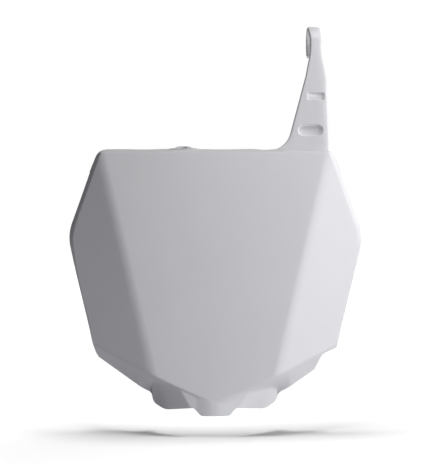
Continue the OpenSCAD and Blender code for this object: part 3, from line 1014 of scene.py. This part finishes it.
class NUMBER_BOARD_OT_stage(bpy.types.Operator):
    """Set the camera, the lamps, the room and a pale floor"""

    bl_idname = "number_board.stage"
    bl_label = "Stage"

    # Camera: the picture's centre in x and z, the sensor's width in millimetres, and how far it sees
    VIEW_CENTRE = (-0.00146, 0.1544)
    SENSOR = 36
    CLIP_END = 50
    # Lamps of the board: yaw from the camera to the right, place and size
    LAMP_TARGET = (0, 0, 0.13)
    KEY_YAW = 75
    FRONT_YAW = 50
    LAMP_DISTANCE = 1.6
    LAMP_HEIGHT = -0.03
    LAMP_SIZE = 0.8
    TOP_PLACE = (0.25, -0.45, 0.9)
    TOP_SIZE = 0.5
    # Floor: its lamp, its glow, the part of it that the lamp takes over, and its colours
    FLOOR_LAMP_HEIGHT = 1.4
    FLOOR_LAMP_Y = -0.07
    FLOOR_LAMP_SIZE = 0.6
    FLOOR_HALF = 6
    FLOOR_WHITE = 1.0
    FLOOR_LIT = 0.93
    FLOOR_SEEN = (0.85, 0.85, 0.85)
    BOUNCE = (0.38, 0.38, 0.4)
    # Room: brightness at its left and right, the directions between which that changes, and those
    # between which it sets in towards the rear
    ROOM_SIDES = (0.02, 2.2)
    ROOM_ACROSS = (-0.2, 1.0)
    ROOM_REAR = (-0.1, 0.4)

    def execute(self, context):
        look = context.scene.number_board.stage
        self.camera(context.scene, look)
        self.lamps(context.scene, look)
        self.room(context.scene, look)
        self.floor(context.scene, look)
        context.scene.view_settings.view_transform = "Standard"
        return {"FINISHED"}

    def camera(self, scene, look):
        """The camera, level and square to the front panel."""
        data = bpy.data.cameras.new(CAMERA_NAME)
        data.sensor_width = self.SENSOR
        data.lens = self.SENSOR * look.camera_distance / look.view_height
        data.clip_end = self.CLIP_END
        camera = bpy.data.objects.new(CAMERA_NAME, data)
        x, z = self.VIEW_CENTRE
        camera.location = (x, FRONT_PLANE * MILLI - look.camera_distance, z)
        camera.rotation_euler = (math.pi / 2, 0, 0)
        scene.collection.objects.link(camera)
        scene.camera = camera

    def lamp(self, scene, name, place, target, size, watts, lit):
        """A disk lamp that lights one object alone. On the board, nothing else blocks its light."""
        data = bpy.data.lights.new(name, "AREA")
        data.shape = "DISK"
        data.size = size
        data.energy = watts
        lamp = bpy.data.objects.new(name, data)
        lamp.location = place
        lamp.rotation_euler = (Vector(target) - Vector(place)).to_track_quat("-Z", "Y").to_euler()
        scene.collection.objects.link(lamp)
        only = bpy.data.collections.new(name + "_receivers")
        only.objects.link(lit)
        lamp.light_linking.receiver_collection = only
        if lit.name == PIECE:
            lamp.light_linking.blocker_collection = only

    def lamps(self, scene, look):
        """The key and front lamps at the right, and the overhead lamp."""
        board = bpy.data.objects[PIECE]
        for name, yaw, watts in (
            ("key_lamp", self.KEY_YAW, look.key_power),
            ("front_lamp", self.FRONT_YAW, look.front_power),
        ):
            a = math.radians(yaw)
            reach = self.LAMP_DISTANCE
            place = (reach * math.sin(a), -reach * math.cos(a), self.LAMP_HEIGHT)
            self.lamp(scene, name, place, self.LAMP_TARGET, self.LAMP_SIZE, watts, board)
        self.lamp(scene, "top_lamp", self.TOP_PLACE, self.LAMP_TARGET, self.TOP_SIZE, look.top_power, board)

    def room(self, scene, look):
        """A room that the camera sees as white, with its light behind the board and on the right."""
        world = bpy.data.worlds.new("studio_room")
        scene.world = world
        tree = bare_tree(world)
        place = add_node(tree, "ShaderNodeTexCoord", (-800, 0)).outputs["Generated"]
        split = add_node(tree, "ShaderNodeSeparateXYZ", (-600, 0), Vector=place)
        across = remap(tree, (-400, 100), split.outputs["X"], self.ROOM_ACROSS, self.ROOM_SIDES)
        rear = remap(tree, (-400, -150), split.outputs["Y"], self.ROOM_REAR)
        rear.interpolation_type = "SMOOTHSTEP"
        wall = calculate(tree, "MULTIPLY", (-200, 0), across.outputs["Result"], rear.outputs["Result"])
        level = calculate(tree, "ADD", (-50, 0), wall, look.room_light)
        light = add_node(tree, "ShaderNodeBackground", (100, -100), Strength=level)
        white = add_node(tree, "ShaderNodeBackground", (100, 100), Color=(1, 1, 1, 1), Strength=1.0)
        rays = add_node(tree, "ShaderNodeLightPath", (100, 400))
        choice = add_node(tree, "ShaderNodeMixShader", (400, 0), Fac=rays.outputs["Is Camera Ray"])
        feed(tree, choice.inputs[1], light.outputs[0])
        feed(tree, choice.inputs[2], white.outputs[0])
        add_node(tree, "ShaderNodeOutputWorld", (600, 0), Surface=choice.outputs[0])

    def floor(self, scene, look):
        """A white floor that keeps the board's shadow: its glow falls where its own lamp lights it."""
        half, drop = self.FLOOR_HALF, -look.floor_drop
        mesh = bpy.data.meshes.new("studio_floor")
        corners = [(-half, -half, drop), (half, -half, drop), (half, half, drop), (-half, half, drop)]
        mesh.from_pydata(corners, [], [(0, 1, 2, 3)])
        floor = bpy.data.objects.new("studio_floor", mesh)
        scene.collection.objects.link(floor)
        over = (0, self.FLOOR_LAMP_Y, self.FLOOR_LAMP_HEIGHT)
        self.lamp(scene, "floor_lamp", over, (0, 0, 0), self.FLOOR_LAMP_SIZE, look.floor_power, floor)
        material = bpy.data.materials.new("pale_floor")
        tree = bare_tree(material)
        place = add_node(tree, "ShaderNodeNewGeometry", (-900, 0)).outputs["Position"]
        reach = add_node(tree, "ShaderNodeVectorMath", (-700, 0))
        reach.operation = "DOT_PRODUCT"
        for socket in reach.inputs[:2]:
            feed(tree, socket, place)
        flat = self.FLOOR_LAMP_HEIGHT**-2
        spread = calculate(tree, "MULTIPLY_ADD", (-500, 0), reach.outputs["Value"], flat, 1)
        fall = calculate(tree, "POWER", (-300, 0), spread, -2)
        level = calculate(tree, "MULTIPLY_ADD", (-100, 0), fall, -self.FLOOR_LIT, self.FLOOR_WHITE)
        seen = add_node(tree, "ShaderNodeLightPath", (-100, 300)).outputs["Is Camera Ray"]
        strength = calculate(tree, "MULTIPLY", (100, 100), level, seen)
        colour = blend(tree, (100, -200), seen, (*self.BOUNCE, 1), (*self.FLOOR_SEEN, 1))
        matt = add_node(tree, "ShaderNodeBsdfDiffuse", (300, -100), Color=colour)
        glow = add_node(tree, "ShaderNodeEmission", (300, 100), Color=(1, 1, 1, 1), Strength=strength)
        both = add_node(tree, "ShaderNodeAddShader", (600, 0))
        for socket, shader in zip(both.inputs, (matt, glow)):
            feed(tree, socket, shader.outputs[0])
        add_node(tree, "ShaderNodeOutputMaterial", (900, 0), Surface=both.outputs[0])
        mesh.materials.append(material)


class NumberBoardSettings(bpy.types.PropertyGroup):
    """Everything that the panel shows."""

    board: PointerProperty(type=BoardSizes, name="Board", description="Outline, wall and folds")
    rim: PointerProperty(type=RimSizes, name="Rim", description="Rim, top flange and edges")
    lobes: PointerProperty(type=LobeSizes, name="Lobes", description="Lobes and tab")
    ear: PointerProperty(type=EarSizes, name="Ear", description="Screw ear")
    strap: PointerProperty(type=StrapSizes, name="Strap", description="Handlebar strap")
    plastic: PointerProperty(type=PlasticLook, name="Plastic", description="Finish of the plastic")
    stage: PointerProperty(type=StageLook, name="Stage", description="Camera, lamps and floor")


class NUMBER_BOARD_PT_panel(bpy.types.Panel):
    """Lists the sizes, the finishes and the steps."""

    bl_idname = "NUMBER_BOARD_PT_panel"
    bl_label = "Racing number board"
    bl_space_type = "VIEW_3D"
    bl_region_type = "UI"
    bl_category = "Number board"

    def draw(self, context):
        settings = context.scene.number_board
        for name in ("board", "rim", "lobes", "ear", "strap", "plastic", "stage"):
            group = getattr(settings, name)
            box = self.layout.box()
            box.label(text=name.capitalize())
            for prop in group.__annotations__:
                box.prop(group, prop)
        for step in STEPS:
            self.layout.operator(step.bl_idname)


STEPS = (NUMBER_BOARD_OT_moulding, NUMBER_BOARD_OT_stage)
CLASSES = (
    BoardSizes,
    RimSizes,
    LobeSizes,
    EarSizes,
    StrapSizes,
    PlasticLook,
    StageLook,
    NumberBoardSettings,
    *STEPS,
    NUMBER_BOARD_PT_panel,
)


def register():
    for cls in CLASSES:
        bpy.utils.register_class(cls)
    bpy.types.Scene.number_board = PointerProperty(type=NumberBoardSettings)


def unregister():
    del bpy.types.Scene.number_board
    for cls in reversed(CLASSES):
        bpy.utils.unregister_class(cls)


def main():
    register()
    bpy.ops.number_board.moulding()
    bpy.ops.number_board.stage()


if __name__ == "__main__":
    main()
